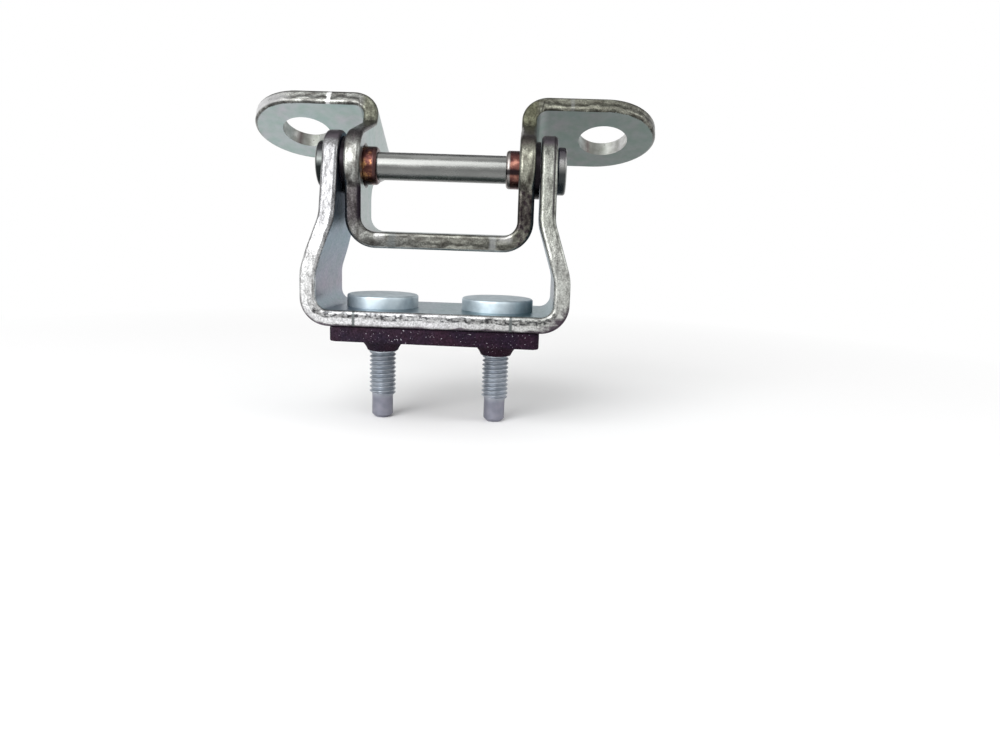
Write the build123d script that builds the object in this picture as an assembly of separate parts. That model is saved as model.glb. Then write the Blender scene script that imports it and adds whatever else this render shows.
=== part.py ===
"""Tailgate hinge: two pressed steel brackets that turn on one riveted pin.

The body bracket is a U of steel strap with two studs through its base and a foam gasket
under it. The tailgate bracket is a hat of the same strap: a cross-strap, two walls on
flanged bushes, and two drilled flanges that slope down to the rear.

Frame: X along the pin, Y to the rear, Z up. The origin lies midway between the studs, on
the plane where their nuts seat, just under the gasket's collars. Millimetres and degrees.
"""
import os
from math import acos, atan2, cos, hypot, radians, sin, sqrt

from build123d import *

# Sheet of both brackets
sheet = 3.5
edge_round = 0.8  # rolled over in the press and tumbled

# Hinge pin
pin_diameter = 6.0
pin_head_diameter = 10.2
pin_head_height = 2.0
pin_head_round = 0.65
pin_head_chamfer = 0.35  # under the head's rim
pin_height = 30.8  # pin axis above the base's upper face

# Body bracket
arm_span = 50.15  # over the arms at the pin
base_width = 57.4  # over the arms at the base
base_depth = 25.5
base_bend_radius = 2.6  # inside of the bend
splay_top = 11.3  # below the pin axis, where the arms start to splay
splay_bottom = 22.9  # below the pin axis, where they stand upright again
splay_bend_radius = 7.8  # inside of the bend
arm_taper_start = 18.3  # below the pin axis, where the arms start to narrow
arm_taper_blend = 6.7
arm_ear_radius = 7.4

# Bushes
bush_wall = 1.07
bush_flange_diameter = 12.2
bush_flange_thickness = 1.0
bush_end_reach = 2.9  # past the inner face of the wall
bush_end_share = 0.65  # rounding of the barrel's end, as a share of its wall

# Tailgate bracket
strap_drop = 14.2  # pin axis down to the cross-strap's upper face
strap_setback = 1.5  # strap's front edge behind the front of the walls' ears
strap_rear = 6.7  # pin axis to the strap's rear edge
strap_bend_radius = 3.1  # inside of the bend
wall_ear_radius = 7.7
wall_shoulder = 2.2  # wall left under the flange's bend at its front end
wall_shoulder_blend = 3.3
wall_heel = 2.2  # the same at its rear end
wall_heel_blend = 2.8
wall_tail_drop = 4.4  # pin axis down to the tail's lower edge, at the strap
wall_armpit_blend = 3.9
wall_notch_blend = 1.3
flange_root = 0.3  # how far a flange's solid runs down into its wall
flange_tilt = 29.0  # down to the rear
flange_offset = 20.55  # pin axis to the flange's underside
flange_bend_radius = 2.8  # inside of the bend
flange_width = 24.0
lobe_reach = 12.85  # hole centres to the flange's end
lobe_lean = 1.9  # how much sooner the lobe's rear corner turns in than its front one
hole_span = 73.8  # between the hole centres
hole_reach = 17.85  # hole centres to the plane square to the flange through the pin
hole_diameter = 12.0

# Studs
stud_diameter = 6.0
stud_neck_step = 0.1  # radial, plain neck over the thread
stud_span = 26.0
stud_reach = 15.1  # below the nuts' seat
stud_pilot_diameter = 4.8
stud_pilot_length = 5.1
stud_pilot_chamfer = 0.75
stud_head_diameter = 16.0
stud_head_height = 2.7
stud_head_round = 0.5

# Gasket
gasket_width = 45.1
gasket_depth = 24.6
gasket_thickness = 3.4
gasket_corner_radius = 1.6
collar_height = 3.5
collar_root_diameter = 11.6
collar_tip_diameter = 6.9
nut_seat_gap = 3.8  # gasket's underside down to the nuts' seat

# Clearances
running_clearance = 0.04  # radial, pin in bushes
press_clearance = 0.02  # radial, pieces pressed into one another
end_float = 0.15  # bush flange to arm
gasket_clearance = 0.1  # radial, gasket on studs

# Levels and places that follow from the sizes above
gasket_bottom = nut_seat_gap
base_bottom = gasket_bottom + gasket_thickness
base_top = base_bottom + sheet
pin_z = base_top + pin_height
arm_inner = arm_span / 2 - sheet
wall_outer = arm_inner - end_float - bush_flange_thickness
wall_inner = wall_outer - sheet
bush_diameter = pin_diameter + 2 * (running_clearance + bush_wall)
flange_front = hole_reach - flange_width / 2
flange_rear = hole_reach + flange_width / 2
bend_start = flange_offset - flange_bend_radius
strap_front = wall_ear_radius - strap_setback
stud_neck_radius = stud_diameter / 2 + stud_neck_step
collar_tip = gasket_bottom - collar_height

# Drawing allowances
overrun = 5.0  # how far a cutting profile passes the solid it cuts
square_cosine = 0.3  # faces count as square to each other below this
same_length = 0.02  # lengths count as equal within this
quarter_turn = 90.0

# Working planes through the pin axis: seen from the front, from the side and on the flange
tilt = radians(flange_tilt)
rearward = Vector(0, cos(tilt), -sin(tilt))
upward = Vector(0, sin(tilt), cos(tilt))
pin_centre = Vector(0, 0, pin_z)
front_plane = Plane(origin=pin_centre, x_dir=(1, 0, 0), z_dir=(0, -1, 0))
side_plane = Plane(origin=pin_centre, x_dir=(0, 1, 0), z_dir=(1, 0, 0))
flange_plane = Plane(origin=pin_centre, x_dir=(1, 0, 0), z_dir=upward)
flange_section_plane = Plane(origin=pin_centre + rearward * hole_reach, x_dir=(1, 0, 0), z_dir=-rearward)


def offset_path(points, distance):
    """Move each run of an open path to its left, and meet the moved runs in new corners."""
    runs = [(Vector(*b) - Vector(*a)).normalized() for a, b in zip(points, points[1:])]
    moved = []
    for index, point in enumerate(points):
        before = runs[max(index - 1, 0)]
        after = runs[min(index, len(runs) - 1)]
        normal = Vector(-before.Y - after.Y, before.X + after.X).normalized()
        half_turn = normal.dot(Vector(-after.Y, after.X))
        place = Vector(*point) + normal * (distance / half_turn)
        moved.append((place.X, place.Y))
    return moved


def strap_section(plane, points, inner_radii):
    """Face of a strap of the sheet's thickness along a path, with an inside radius at each bend."""
    sides = []
    for distance in (sheet / 2, -sheet / 2):
        radii = []
        for before, here, after, inner in zip(points, points[1:], points[2:], inner_radii):
            turn = (here[0] - before[0]) * (after[1] - here[1]) - (here[1] - before[1]) * (after[0] - here[0])
            inside = turn * distance > 0
            radii.append(inner if inside else inner + sheet)
        sides.append((offset_path(points, distance), radii))
    with BuildSketch(plane) as section:
        with BuildLine():
            left, right = [FilletPolyline(*path, radius=radii) for path, radii in sides]
            Line(left @ 0, right @ 0)
            Line(left @ 1, right @ 1)
        make_face()
    return section.sketch


def tangent_touch(point, radius, turn):
    """Point on a circle about the pin where a tangent from a point outside touches it."""
    angle = atan2(point[1], point[0]) + turn * acos(radius / hypot(*point))
    return (radius * cos(angle), radius * sin(angle))


def on_flange_grid(reach, height):
    """Side-view place given by a reach along the flange and a height square to it."""
    place = rearward * reach + upward * height
    return (place.Y, place.Z)


def corner_at(outline, point):
    return outline.vertices().sort_by_distance(Vector(*point))[0]


def is_across(edge):
    """True for a short edge that runs through the sheet's thickness."""
    straight = edge.geom_type == GeomType.LINE
    return straight and abs(edge.length - sheet) < same_length


def is_sheared(edge, solid):
    """True where a broad face of the sheet meets its cut edge."""
    faces = [face for face in solid.faces() if any(edge.is_same(other) for other in face.edges())]
    if len(faces) != 2 or is_across(edge):
        return False
    first, second = [face.normal_at(edge @ 0.5) for face in faces]
    return abs(first.dot(second)) < square_cosine


def pin_bore(diameter):
    """Cylinder along the pin axis, through both sides."""
    bore = Cylinder(diameter / 2, base_width + 2 * overrun)
    return Pos(0, 0, pin_z) * Rot(0, 90, 0) * bore


def body_bracket():
    half_depth = base_depth / 2
    arm_mid = (arm_span - sheet) / 2
    base_mid = (base_width - sheet) / 2
    floor = base_bottom + sheet / 2 - pin_z
    path = [
        (-arm_mid, arm_ear_radius + overrun),
        (-arm_mid, -splay_top),
        (-base_mid, -splay_bottom),
        (-base_mid, floor),
        (base_mid, floor),
        (base_mid, -splay_bottom),
        (arm_mid, -splay_top),
        (arm_mid, arm_ear_radius + overrun),
    ]
    bends = [splay_bend_radius] * 2 + [base_bend_radius] * 2 + [splay_bend_radius] * 2
    strap = extrude(strap_section(front_plane, path, bends), amount=half_depth, both=True)

    low = floor - sheet / 2 - overrun
    rear_shoulder = (half_depth, -arm_taper_start)
    front_shoulder = (-half_depth, -arm_taper_start)
    rear_touch = tangent_touch(rear_shoulder, arm_ear_radius, 1)
    front_touch = tangent_touch(front_shoulder, arm_ear_radius, -1)
    with BuildSketch(side_plane) as outline:
        with BuildLine():
            Polyline(
                front_touch, front_shoulder, (-half_depth, low),
                (half_depth, low), rear_shoulder, rear_touch,
            )
            ThreePointArc(rear_touch, (0, arm_ear_radius), front_touch)
        make_face()
        for shoulder in (rear_shoulder, front_shoulder):
            fillet(corner_at(outline, shoulder), arm_taper_blend)
    bracket = strap & extrude(outline.sketch, amount=base_width, both=True)
    bracket -= pin_bore(pin_diameter + 2 * press_clearance)
    for side in (-1, 1):
        hole = Cylinder(stud_neck_radius + press_clearance, sheet + 2 * overrun)
        bracket -= Pos(side * stud_span / 2, 0, base_bottom + sheet / 2) * hole
    return bracket


def wall_outline():
    """Side view of the tailgate bracket's walls, up to where the flange's bend starts."""
    front_corner = on_flange_grid(flange_front, bend_start - wall_shoulder)
    front_top = on_flange_grid(flange_front, bend_start)
    rear_top = on_flange_grid(flange_rear, bend_start)
    rear_corner = on_flange_grid(flange_rear, bend_start - wall_heel)
    armpit = (strap_rear, -wall_tail_drop)
    low = -strap_drop - sheet - overrun
    ear_touch = tangent_touch(front_corner, wall_ear_radius, 1)
    notch = (-strap_front, -sqrt(wall_ear_radius**2 - strap_front**2))
    with BuildSketch(side_plane) as outline:
        with BuildLine():
            Polyline(
                ear_touch, front_corner, front_top, rear_top, rear_corner, armpit,
                (strap_rear, low), (-strap_front, low), notch,
            )
            ThreePointArc(notch, (-wall_ear_radius, 0), ear_touch)
        make_face()
        fillet(corner_at(outline, front_corner), wall_shoulder_blend)
        fillet(corner_at(outline, rear_corner), wall_heel_blend)
        fillet(corner_at(outline, armpit), wall_armpit_blend)
        fillet(corner_at(outline, notch), wall_notch_blend)
    return outline.sketch


def right_flange():
    """Flange with its bend and the top of its wall, cut to a lobe round its hole."""
    wall_mid = wall_outer - sheet / 2
    hole_x = hole_span / 2
    half_width = flange_width / 2
    rear_turn = hole_x - lobe_lean
    height = flange_offset + sheet / 2
    strip_end = hole_x + lobe_reach + overrun
    path = [(wall_mid, bend_start - flange_root), (wall_mid, height), (strip_end, height)]
    section = strap_section(flange_section_plane, path, [flange_bend_radius])
    strip = extrude(section, amount=half_width, both=True)
    with BuildSketch(flange_plane) as outline:
        with BuildLine():
            Polyline((rear_turn, flange_rear), (0, flange_rear), (0, flange_front), (hole_x, flange_front))
            EllipticalCenterArc(
                (hole_x, hole_reach), lobe_reach, half_width, -quarter_turn, arc_size=quarter_turn
            )
            EllipticalCenterArc(
                (rear_turn, hole_reach), lobe_reach + lobe_lean, half_width, 0, arc_size=quarter_turn
            )
        make_face()
        with Locations((hole_x, hole_reach)):
            Circle(hole_diameter / 2, mode=Mode.SUBTRACT)
    return strip & extrude(outline.sketch, amount=flange_offset + sheet + overrun)


def tailgate_bracket():
    wall_mid = wall_outer - sheet / 2
    strap_mid = -strap_drop - sheet / 2
    top = flange_offset + sheet
    path = [(-wall_mid, top), (-wall_mid, strap_mid), (wall_mid, strap_mid), (wall_mid, top)]
    depth = flange_rear + flange_offset + sheet
    trough = extrude(strap_section(front_plane, path, [strap_bend_radius] * 2), amount=depth, both=True)
    bracket = trough & extrude(wall_outline(), amount=base_width, both=True)
    bracket += right_flange()
    bracket += mirror(right_flange(), about=Plane.YZ)
    return bracket - pin_bore(bush_diameter + 2 * press_clearance)


def is_punched_rim(edge):
    """True for a rim of a flange's hole, which is punched after tumbling and stays crisp."""
    return edge.geom_type == GeomType.CIRCLE and abs(edge.radius - hole_diameter / 2) < same_length


def round_sheared_edges(bracket):
    solid = bracket.solid()
    edges = [edge for edge in solid.edges() if is_sheared(edge, solid) and not is_punched_rim(edge)]
    return fillet(edges, edge_round)


def hinge_pin():
    """Riveted pin, its two heads peened over the arms."""
    grip = arm_span / 2
    shank = pin_diameter / 2
    head = pin_head_diameter / 2
    end = grip + pin_head_height
    with BuildSketch(Plane.XZ) as profile:
        with BuildLine():
            Polyline(
                (-end, 0), (-end, head), (-grip, head), (-grip, shank),
                (grip, shank), (grip, head), (end, head), (end, 0), close=True,
            )
        make_face()
        for side in (-1, 1):
            fillet(corner_at(profile, (side * end, head)), pin_head_round)
            chamfer(corner_at(profile, (side * grip, head)), pin_head_chamfer)
    return Pos(0, 0, pin_z) * revolve(profile.sketch, axis=Axis.X)


def bush(side):
    """Flanged bush pressed into a wall from outside, its barrel standing out on the inside."""
    bore = pin_diameter / 2 + running_clearance
    barrel = bush_diameter / 2
    flange_rim = bush_flange_diameter / 2
    tip = side * (wall_inner - bush_end_reach)
    seat = side * wall_outer
    face = side * (wall_outer + bush_flange_thickness)
    with BuildSketch(Plane.XZ) as profile:
        with BuildLine():
            Polyline(
                (tip, bore), (tip, barrel), (seat, barrel), (seat, flange_rim),
                (face, flange_rim), (face, bore), close=True,
            )
        make_face()
        fillet(corner_at(profile, (tip, barrel)), bush_end_share * bush_wall)
    return Pos(0, 0, pin_z) * revolve(profile.sketch, axis=Axis.X)


def stud(side):
    """Press-in stud: round head on the base, plain neck, shank for the thread, dog point."""
    shank = stud_diameter / 2
    pilot = stud_pilot_diameter / 2
    head = stud_head_diameter / 2
    head_top = base_top + stud_head_height
    tip = -stud_reach
    shoulder = tip + stud_pilot_length
    with BuildSketch(Plane.XZ) as profile:
        with BuildLine():
            Polyline(
                (0, tip), (pilot, tip), (pilot, shoulder), (shank, shoulder + shank - pilot),
                (shank, collar_tip), (stud_neck_radius, collar_tip), (stud_neck_radius, base_top),
                (head, base_top), (head, head_top), (0, head_top), close=True,
            )
        make_face()
        chamfer(corner_at(profile, (pilot, tip)), stud_pilot_chamfer)
        fillet(corner_at(profile, (head, head_top)), stud_head_round)
    return Pos(side * stud_span / 2, 0, 0) * revolve(profile.sketch, axis=Axis.Z)


def gasket():
    """Foam pad under the base, with a tapered collar round each stud."""
    with BuildSketch(Plane.XY.offset(gasket_bottom)) as pad:
        RectangleRounded(gasket_width, gasket_depth, gasket_corner_radius)
    body = extrude(pad.sketch, amount=gasket_thickness)
    for side in (-1, 1):
        collar = Cone(collar_tip_diameter / 2, collar_root_diameter / 2, collar_height)
        body += Pos(side * stud_span / 2, 0, gasket_bottom - collar_height / 2) * collar
    for side in (-1, 1):
        hole = Cylinder(stud_neck_radius + gasket_clearance, 2 * (gasket_thickness + collar_height) + overrun)
        body -= Pos(side * stud_span / 2, 0, gasket_bottom) * hole
    return body


def main():
    pieces = {
        "body_bracket": round_sheared_edges(body_bracket()),
        "tailgate_bracket": round_sheared_edges(tailgate_bracket()),
        "hinge_pin": hinge_pin(),
        "bush_left": bush(-1),
        "bush_right": bush(1),
        "stud_left": stud(-1),
        "stud_right": stud(1),
        "gasket": gasket(),
    }
    os.makedirs("parts", exist_ok=True)
    for name, piece in pieces.items():
        export_step(piece, f"parts/{name}.step")
        print(name, f"{piece.volume:.1f} mm3")


main()
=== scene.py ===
# %% [markdown]
# # A tailgate hinge in zinc-plated steel
# The hinge has two brackets of thick steel strap, a riveted pin, two bronze bushes, two pressed-in
# studs and a foam gasket. The strap, pin and bushes come from the CAD frame with the right shape,
# so they only need a finish. The studs get a real thread and the gasket a soft foam body.

# %% Load the frame
import math
from types import SimpleNamespace
import bpy
from mathutils import Matrix, Vector


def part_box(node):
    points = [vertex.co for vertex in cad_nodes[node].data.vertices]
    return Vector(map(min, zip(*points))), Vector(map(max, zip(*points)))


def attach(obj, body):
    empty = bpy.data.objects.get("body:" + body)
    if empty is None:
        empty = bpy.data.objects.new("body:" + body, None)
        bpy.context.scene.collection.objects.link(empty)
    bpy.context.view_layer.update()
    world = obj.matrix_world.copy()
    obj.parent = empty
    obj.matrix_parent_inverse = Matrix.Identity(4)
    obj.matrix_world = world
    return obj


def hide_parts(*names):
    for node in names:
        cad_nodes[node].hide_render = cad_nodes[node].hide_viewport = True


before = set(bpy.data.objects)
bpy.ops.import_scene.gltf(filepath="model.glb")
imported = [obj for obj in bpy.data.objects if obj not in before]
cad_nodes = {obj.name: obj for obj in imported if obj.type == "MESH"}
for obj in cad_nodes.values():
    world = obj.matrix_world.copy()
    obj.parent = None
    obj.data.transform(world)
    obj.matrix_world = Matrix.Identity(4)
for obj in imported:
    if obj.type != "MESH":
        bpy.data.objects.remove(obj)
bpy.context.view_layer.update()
MM = 0.001

# %% [markdown]
# ## Places on the hinge
# Everything that is added here has to sit on the CAD parts. A learner could type the numbers in again,
# but then they drift when the CAD changes. Reading them from the nodes' boxes keeps both together.

# %% Measure the frame
pin_low, pin_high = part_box("hinge_pin")
pin_axis_z = (pin_low.z + pin_high.z) / 2
base_low, base_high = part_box("body_bracket")
stud_low, stud_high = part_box("stud_right")
gasket_low, gasket_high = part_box("gasket")
stud_x = (stud_low.x + stud_high.x) / 2
floor_z = stud_low.z
base_bottom_z = base_low.z
strap_bottom_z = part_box("tailgate_bracket")[0].z
print(f"pin axis at {pin_axis_z / MM:.2f} mm, studs at +-{stud_x / MM:.2f} mm")
print(f"floor at {floor_z / MM:.2f} mm")

# %% [markdown]
# ## The camera
# The view is that of a wide lens close to the hinge, a little above its middle and to its right, looking
# slightly down. The lens and the place were worked out from the hinge's own proportions in the picture.
# A camera can be aimed by angles, but three axis vectors say the same with no order of turns to remember.

# %% Camera
IMAGE_WIDTH = 1000
FOCAL_PIXELS = 786.6
SENSOR_WIDTH = 36.0
camera_place = Vector((19.35, -177.88, -11.29)) * MM + Vector((0, 0, pin_axis_z))
camera_right = Vector((0.99882, 0.03558, 0.03301))
camera_up = Vector((-0.03917, 0.18936, 0.98113))
camera_back = Vector((0.02866, -0.98126, 0.19053))

camera_data = bpy.data.cameras.new("camera")
camera_data.sensor_fit = "HORIZONTAL"
camera_data.sensor_width = SENSOR_WIDTH
camera_data.lens = FOCAL_PIXELS / IMAGE_WIDTH * SENSOR_WIDTH
camera_data.clip_start = 1 * MM
camera = bpy.data.objects.new("camera", camera_data)
camera_turn = Matrix((camera_right, camera_up, camera_back)).transposed().to_4x4()
camera.matrix_world = Matrix.Translation(camera_place) @ camera_turn
bpy.context.scene.collection.objects.link(camera)
bpy.context.scene.camera = camera
bpy.context.scene.view_settings.view_transform = "Standard"
print(f"camera lens {camera_data.lens:.2f} mm")

# %% [markdown]
# ## Small helpers for node finishes
# Every finish here is a tree of shader nodes on the Principled shader. The helpers add a node, join two
# sockets and make the patterns that turn up most, noise and a colour ramp, so that each finish further
# down reads as a short recipe.


# %% Node helpers
def new_finish(name):
    material = bpy.data.materials.new(name)
    material.use_nodes = True
    return material


def add_node(material, kind, **settings):
    node = material.node_tree.nodes.new(kind)
    for key, value in settings.items():
        setattr(node, key, value)
    return node


def join(material, source, target):
    material.node_tree.links.new(source, target)


def shader_of(material):
    return material.node_tree.nodes["Principled BSDF"]


def object_place(material):
    return add_node(material, "ShaderNodeTexCoord").outputs["Object"]


def axes(material, place):
    node = add_node(material, "ShaderNodeSeparateXYZ")
    join(material, place, node.inputs["Vector"])
    return node.outputs


def placed_finish(name):
    """A new finish with its Object coordinates, whole and by axis."""
    finish = new_finish(name)
    place = object_place(finish)
    return finish, place, axes(finish, place)


# %% Patterns and ramps
def noise(material, place, size_mm, detail, stretch=(1, 1, 1)):
    """Noise with cells of about this size, stretched along an axis where stretch is above one."""
    mapping = add_node(material, "ShaderNodeMapping")
    mapping.inputs["Scale"].default_value = [1 / (size_mm * MM * factor) for factor in stretch]
    texture = add_node(material, "ShaderNodeTexNoise")
    texture.inputs["Scale"].default_value = 1.0
    texture.inputs["Detail"].default_value = detail
    join(material, place, mapping.inputs["Vector"])
    join(material, mapping.outputs["Vector"], texture.inputs["Vector"])
    return texture.outputs["Fac"]


def ramp(material, factor, stops):
    """Colour ramp from (position, colour) stops."""
    node = add_node(material, "ShaderNodeValToRGB")
    elements = node.color_ramp.elements
    while len(elements) < len(stops):
        elements.new(0.5)
    for element, (position, colour) in zip(elements, stops):
        element.position = position
        element.color = (*colour, 1.0)
    join(material, factor, node.inputs["Fac"])
    return node.outputs["Color"]


def spread(material, factor, low, high, start=0.3, end=0.7):
    """Map a factor between start and end onto the values from low to high."""
    node = add_node(material, "ShaderNodeMapRange")
    node.inputs["From Min"].default_value = start
    node.inputs["From Max"].default_value = end
    node.inputs["To Min"].default_value = low
    node.inputs["To Max"].default_value = high
    join(material, factor, node.inputs["Value"])
    return node.outputs["Result"]


# %% Mixing and surfaces
def feed(material, source, socket):
    """Join a socket, or set it to a plain number or colour."""
    if isinstance(source, tuple):
        socket.default_value = (*source, 1.0)
    elif isinstance(source, (int, float)):
        socket.default_value = source
    else:
        join(material, source, socket)


def mixed(material, factor, first, second, kind="MIX"):
    """Lay the second colour over the first where the factor is high."""
    node = add_node(material, "ShaderNodeMix", data_type="RGBA", blend_type=kind)
    for index, source in ((0, factor), (6, first), (7, second)):
        feed(material, source, node.inputs[index])
    return node.outputs[2]


def multiply(material, first, second):
    return mixed(material, 1.0, first, second, kind="MULTIPLY")


def bump(material, height, depth_mm, strength):
    node = add_node(material, "ShaderNodeBump")
    node.inputs["Strength"].default_value = strength
    node.inputs["Distance"].default_value = depth_mm * MM
    join(material, height, node.inputs["Height"])
    join(material, node.outputs["Normal"], shader_of(material).inputs["Normal"])


def bare_metal(material, colour, roughness):
    shader = shader_of(material)
    shader.inputs["Metallic"].default_value = 1.0
    join(material, colour, shader.inputs["Base Color"])
    join(material, roughness, shader.inputs["Roughness"])


# %% [markdown]
# ## Zinc on the strap's faces
# Zinc plate with a thin passivate is never plain grey. It drifts between blue-green and lavender over
# several millimetres and has a fine satin grain. One slow noise picks the tint, a fine one breaks up the
# gloss, and a shallow bump keeps the reflections from looking like a mirror. The two brackets were plated
# in different baths: the body bracket came out bluer, the tailgate bracket greyer. Painted shade darkens
# the body bracket towards the tops of its arms, where they stand in the gap beside the walls, and the
# tailgate bracket towards its right end, away from the lamps at the left.

# %% Zinc faces
FACE_CLOUDS = [(0.34, (0.82, 0.89, 0.86)), (0.66, (1.0, 0.965, 1.0))]
BODY_TINTS = [(0.32, (0.275, 0.33, 0.36)), (0.68, (0.35, 0.35, 0.41))]
# Tint up the body bracket, with painted shade darkening it towards the top, in the gap beside the walls.
BODY_RISE_AND_SHADE = [
    (0.14, (0.60, 0.74, 0.78)),
    (0.24, (0.70, 0.61, 0.69)),
    (0.55, (0.45, 0.63, 0.725)),
    (1.00, (0.47, 0.53, 0.72)),
]
BODY_SIDES = [(0.48, (1.0, 1.0, 1.0)), (0.52, (0.85, 1.0, 0.96))]
TAILGATE_TINTS = [
    (0.32, (0.375, 0.455, 0.45)),
    (0.50, (0.41, 0.47, 0.46)),
    (0.68, (0.445, 0.46, 0.475)),
]
# Painted shade: the tailgate bracket darkens towards its right end, away from the lamps at the left.
TAILGATE_SIDE_SHADE = [(0.2, (1.0, 1.0, 1.0)), (0.8, (0.55, 0.55, 0.53))]


def zinc_face_finish(name, tints, drifts):
    """Mottled zinc, with drifts of tint and painted shade, as (axis, from mm, to mm, stops), laid over it.
    """
    finish, place, along = placed_finish(name)
    colour = ramp(finish, noise(finish, place, size_mm=9.0, detail=2.0), tints)
    clouds = noise(finish, place, size_mm=2.2, detail=4.0)
    colour = multiply(finish, colour, ramp(finish, clouds, FACE_CLOUDS))
    for axis, start_mm, end_mm, stops in drifts:
        share = spread(finish, along[axis], 0.0, 1.0, start_mm * MM, end_mm * MM)
        colour = multiply(finish, colour, ramp(finish, share, stops))
    grain = noise(finish, place, size_mm=0.5, detail=5.0)
    bare_metal(finish, colour, spread(finish, grain, low=0.28, high=0.42))
    bump(finish, grain, depth_mm=0.02, strength=0.5)
    return finish


# Drifts of tint and painted shade.
body_tint_and_shade_drifts = [("Z", 7.2, 40.0, BODY_RISE_AND_SHADE), ("X", -30.0, 30.0, BODY_SIDES)]
tailgate_shade_drifts = [("X", -50.0, 50.0, TAILGATE_SIDE_SHADE)]
body_face = zinc_face_finish("body_zinc", BODY_TINTS, body_tint_and_shade_drifts)
tailgate_face = zinc_face_finish("tailgate_zinc", TAILGATE_TINTS, tailgate_shade_drifts)
print("finishes:", body_face.name, tailgate_face.name)

# %% [markdown]
# ## The sheared edges
# The strap was cut by a press tool, so its edges are not like its faces. A punch drags the metal through
# its thickness and then tears it: part is burnished, part is torn, and the plate on top is mottled. Two
# noises of different size mix dark, grey and bright patches, and set the gloss with them. Both brackets
# start from these patches and get their own bands, marks and stains after that.


# %% Streaks along an edge
def greys(*stops):
    """Stops for a ramp from (position, grey) pairs."""
    return [(position, (grey, grey, grey)) for position, grey in stops]


def mixed_value(material, factor, first, second):
    node = add_node(material, "ShaderNodeMix", data_type="FLOAT")
    for index, source in ((0, factor), (2, first), (3, second)):
        feed(material, source, node.inputs[index])
    return node.outputs[0]


SPECKS = greys((0.36, 0.55), (0.62, 1.0))


def streaks(finish, place, upright, size_mm):
    """Patches drawn out along X, or along Z where upright is one."""
    level = noise(finish, place, size_mm, detail=5.0, stretch=(2.6, 1, 1))
    standing = noise(finish, place, size_mm, detail=5.0, stretch=(1, 1, 3.4))
    return mixed_value(finish, upright, level, standing)


def speckled(finish, colour, specks):
    return multiply(finish, colour, ramp(finish, specks, SPECKS))


def edge_shader(finish, colour, patches, specks):
    bare_metal(finish, colour, spread(finish, patches, low=0.42, high=0.26))
    bump(finish, specks, depth_mm=0.06, strength=0.7)


# %% [markdown]
# ## Bands across the body bracket's edge
# From the strap's outer face inwards come a rolled rim, darkened with painted shade, a burnished band, a
# torn band full of chips, and a bright lip. Height alone would draw them level, and they have to follow the
# bends. So they are told by the depth under the outer face, which is worked out from the centre of each
# bend.

# %% Bands across an edge
SHEET = 3.5 * MM
# Bright burnished metal, also the colour of the painted highlights at the strap's bends and on the left
# lobe.
BURNISHED_AND_HIGHLIGHT = (0.84, 0.84, 0.85)
BURNISHED_BAND = greys((0.14, 0.0), (0.20, 1.0), (0.46, 1.0), (0.52, 0.0))
TORN_BAND = greys((0.48, 0.0), (0.54, 1.0), (0.82, 1.0), (0.90, 0.0))
CHIPS = [(0.40, (0.16, 0.16, 0.17)), (0.56, (0.9, 0.9, 0.9))]
# Painted shade: the rolled rim at the outer face is painted dark.
ROLLED_RIM_SHADE = [(0.09, (0.24, 0.20, 0.24)), (0.17, (0.88, 0.88, 0.88))]


def maths(material, operation, *values):
    node = add_node(material, "ShaderNodeMath", operation=operation)
    for socket, value in zip(node.inputs, values):
        feed(material, value, socket)
    return node.outputs[0]


def depth_in_bend(finish, along, half_width, bottom_z, bend_radius):
    """How far a point of a U, or of its two bends, lies from the strap's outer face."""
    off_centre = maths(finish, "ABSOLUTE", along["X"])
    past_bend = maths(finish, "SUBTRACT", off_centre, half_width - bend_radius)
    past_bend = maths(finish, "MAXIMUM", past_bend, 0.0)
    under_bend = maths(finish, "SUBTRACT", bottom_z + bend_radius, along["Z"])
    under_bend = maths(finish, "MAXIMUM", under_bend, 0.0)
    squares = [maths(finish, "MULTIPLY", length, length) for length in (past_bend, under_bend)]
    from_centre = maths(finish, "SQRT", maths(finish, "ADD", squares[0], squares[1]))
    return maths(finish, "SUBTRACT", bend_radius, from_centre)


def sheared_bands(finish, place, colour, depth):
    """Rolled rim in painted shade, burnished band, torn band and a bright lip, from the outer face inwards.
    """
    share = spread(finish, depth, 0.0, 1.0, start=0.0, end=SHEET)
    colour = mixed(finish, ramp(finish, share, BURNISHED_BAND), colour, BURNISHED_AND_HIGHLIGHT)
    chips = noise(finish, place, size_mm=0.55, detail=2.0, stretch=(1.7, 1, 1))
    chipped = multiply(finish, colour, ramp(finish, chips, CHIPS))
    colour = mixed(finish, ramp(finish, share, TORN_BAND), colour, chipped)
    # Painted shade on the rolled rim.
    return multiply(finish, colour, ramp(finish, share, ROLLED_RIM_SHADE))


print(f"bands across {SHEET / MM} mm of sheet")


# %% [markdown]
# ## Painted shade and tool marks on the body bracket
# Painted shade darkens the tops of both ears and the right-hand bend. Two thin bars on the base show where
# two strokes of the tool met, and a burr line runs down the right arm. Each is one colour laid over a mask,
# and a noise frays the longer borders.

# %% Body bracket stains
# Painted shade on the ear tops and on the right-hand bend.
EAR_SHADE = (0.115, 0.100, 0.115)
BEND_SHADE = (0.045, 0.030, 0.045)
BEND_SHADE_START = (14.6 * MM, 16.6 * MM)
BAR_DARK = (0.12, 0.13, 0.13)
BASE_BARS_MM = (-17.1, 16.4)
BURR_MM = 24.4
BURR_STAIN = (0.030, 0.026, 0.030)


def product(material, first, *others):
    for other in others:
        first = maths(material, "MULTIPLY", first, other)
    return first


def bar(material, along, centre_mm, half_mm):
    """One on a narrow bar across an axis, zero away from it."""
    distance = maths(material, "ABSOLUTE", maths(material, "SUBTRACT", along, centre_mm * MM))
    return spread(material, distance, 1.0, 0.0, start=0.5 * half_mm * MM, end=half_mm * MM)


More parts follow.
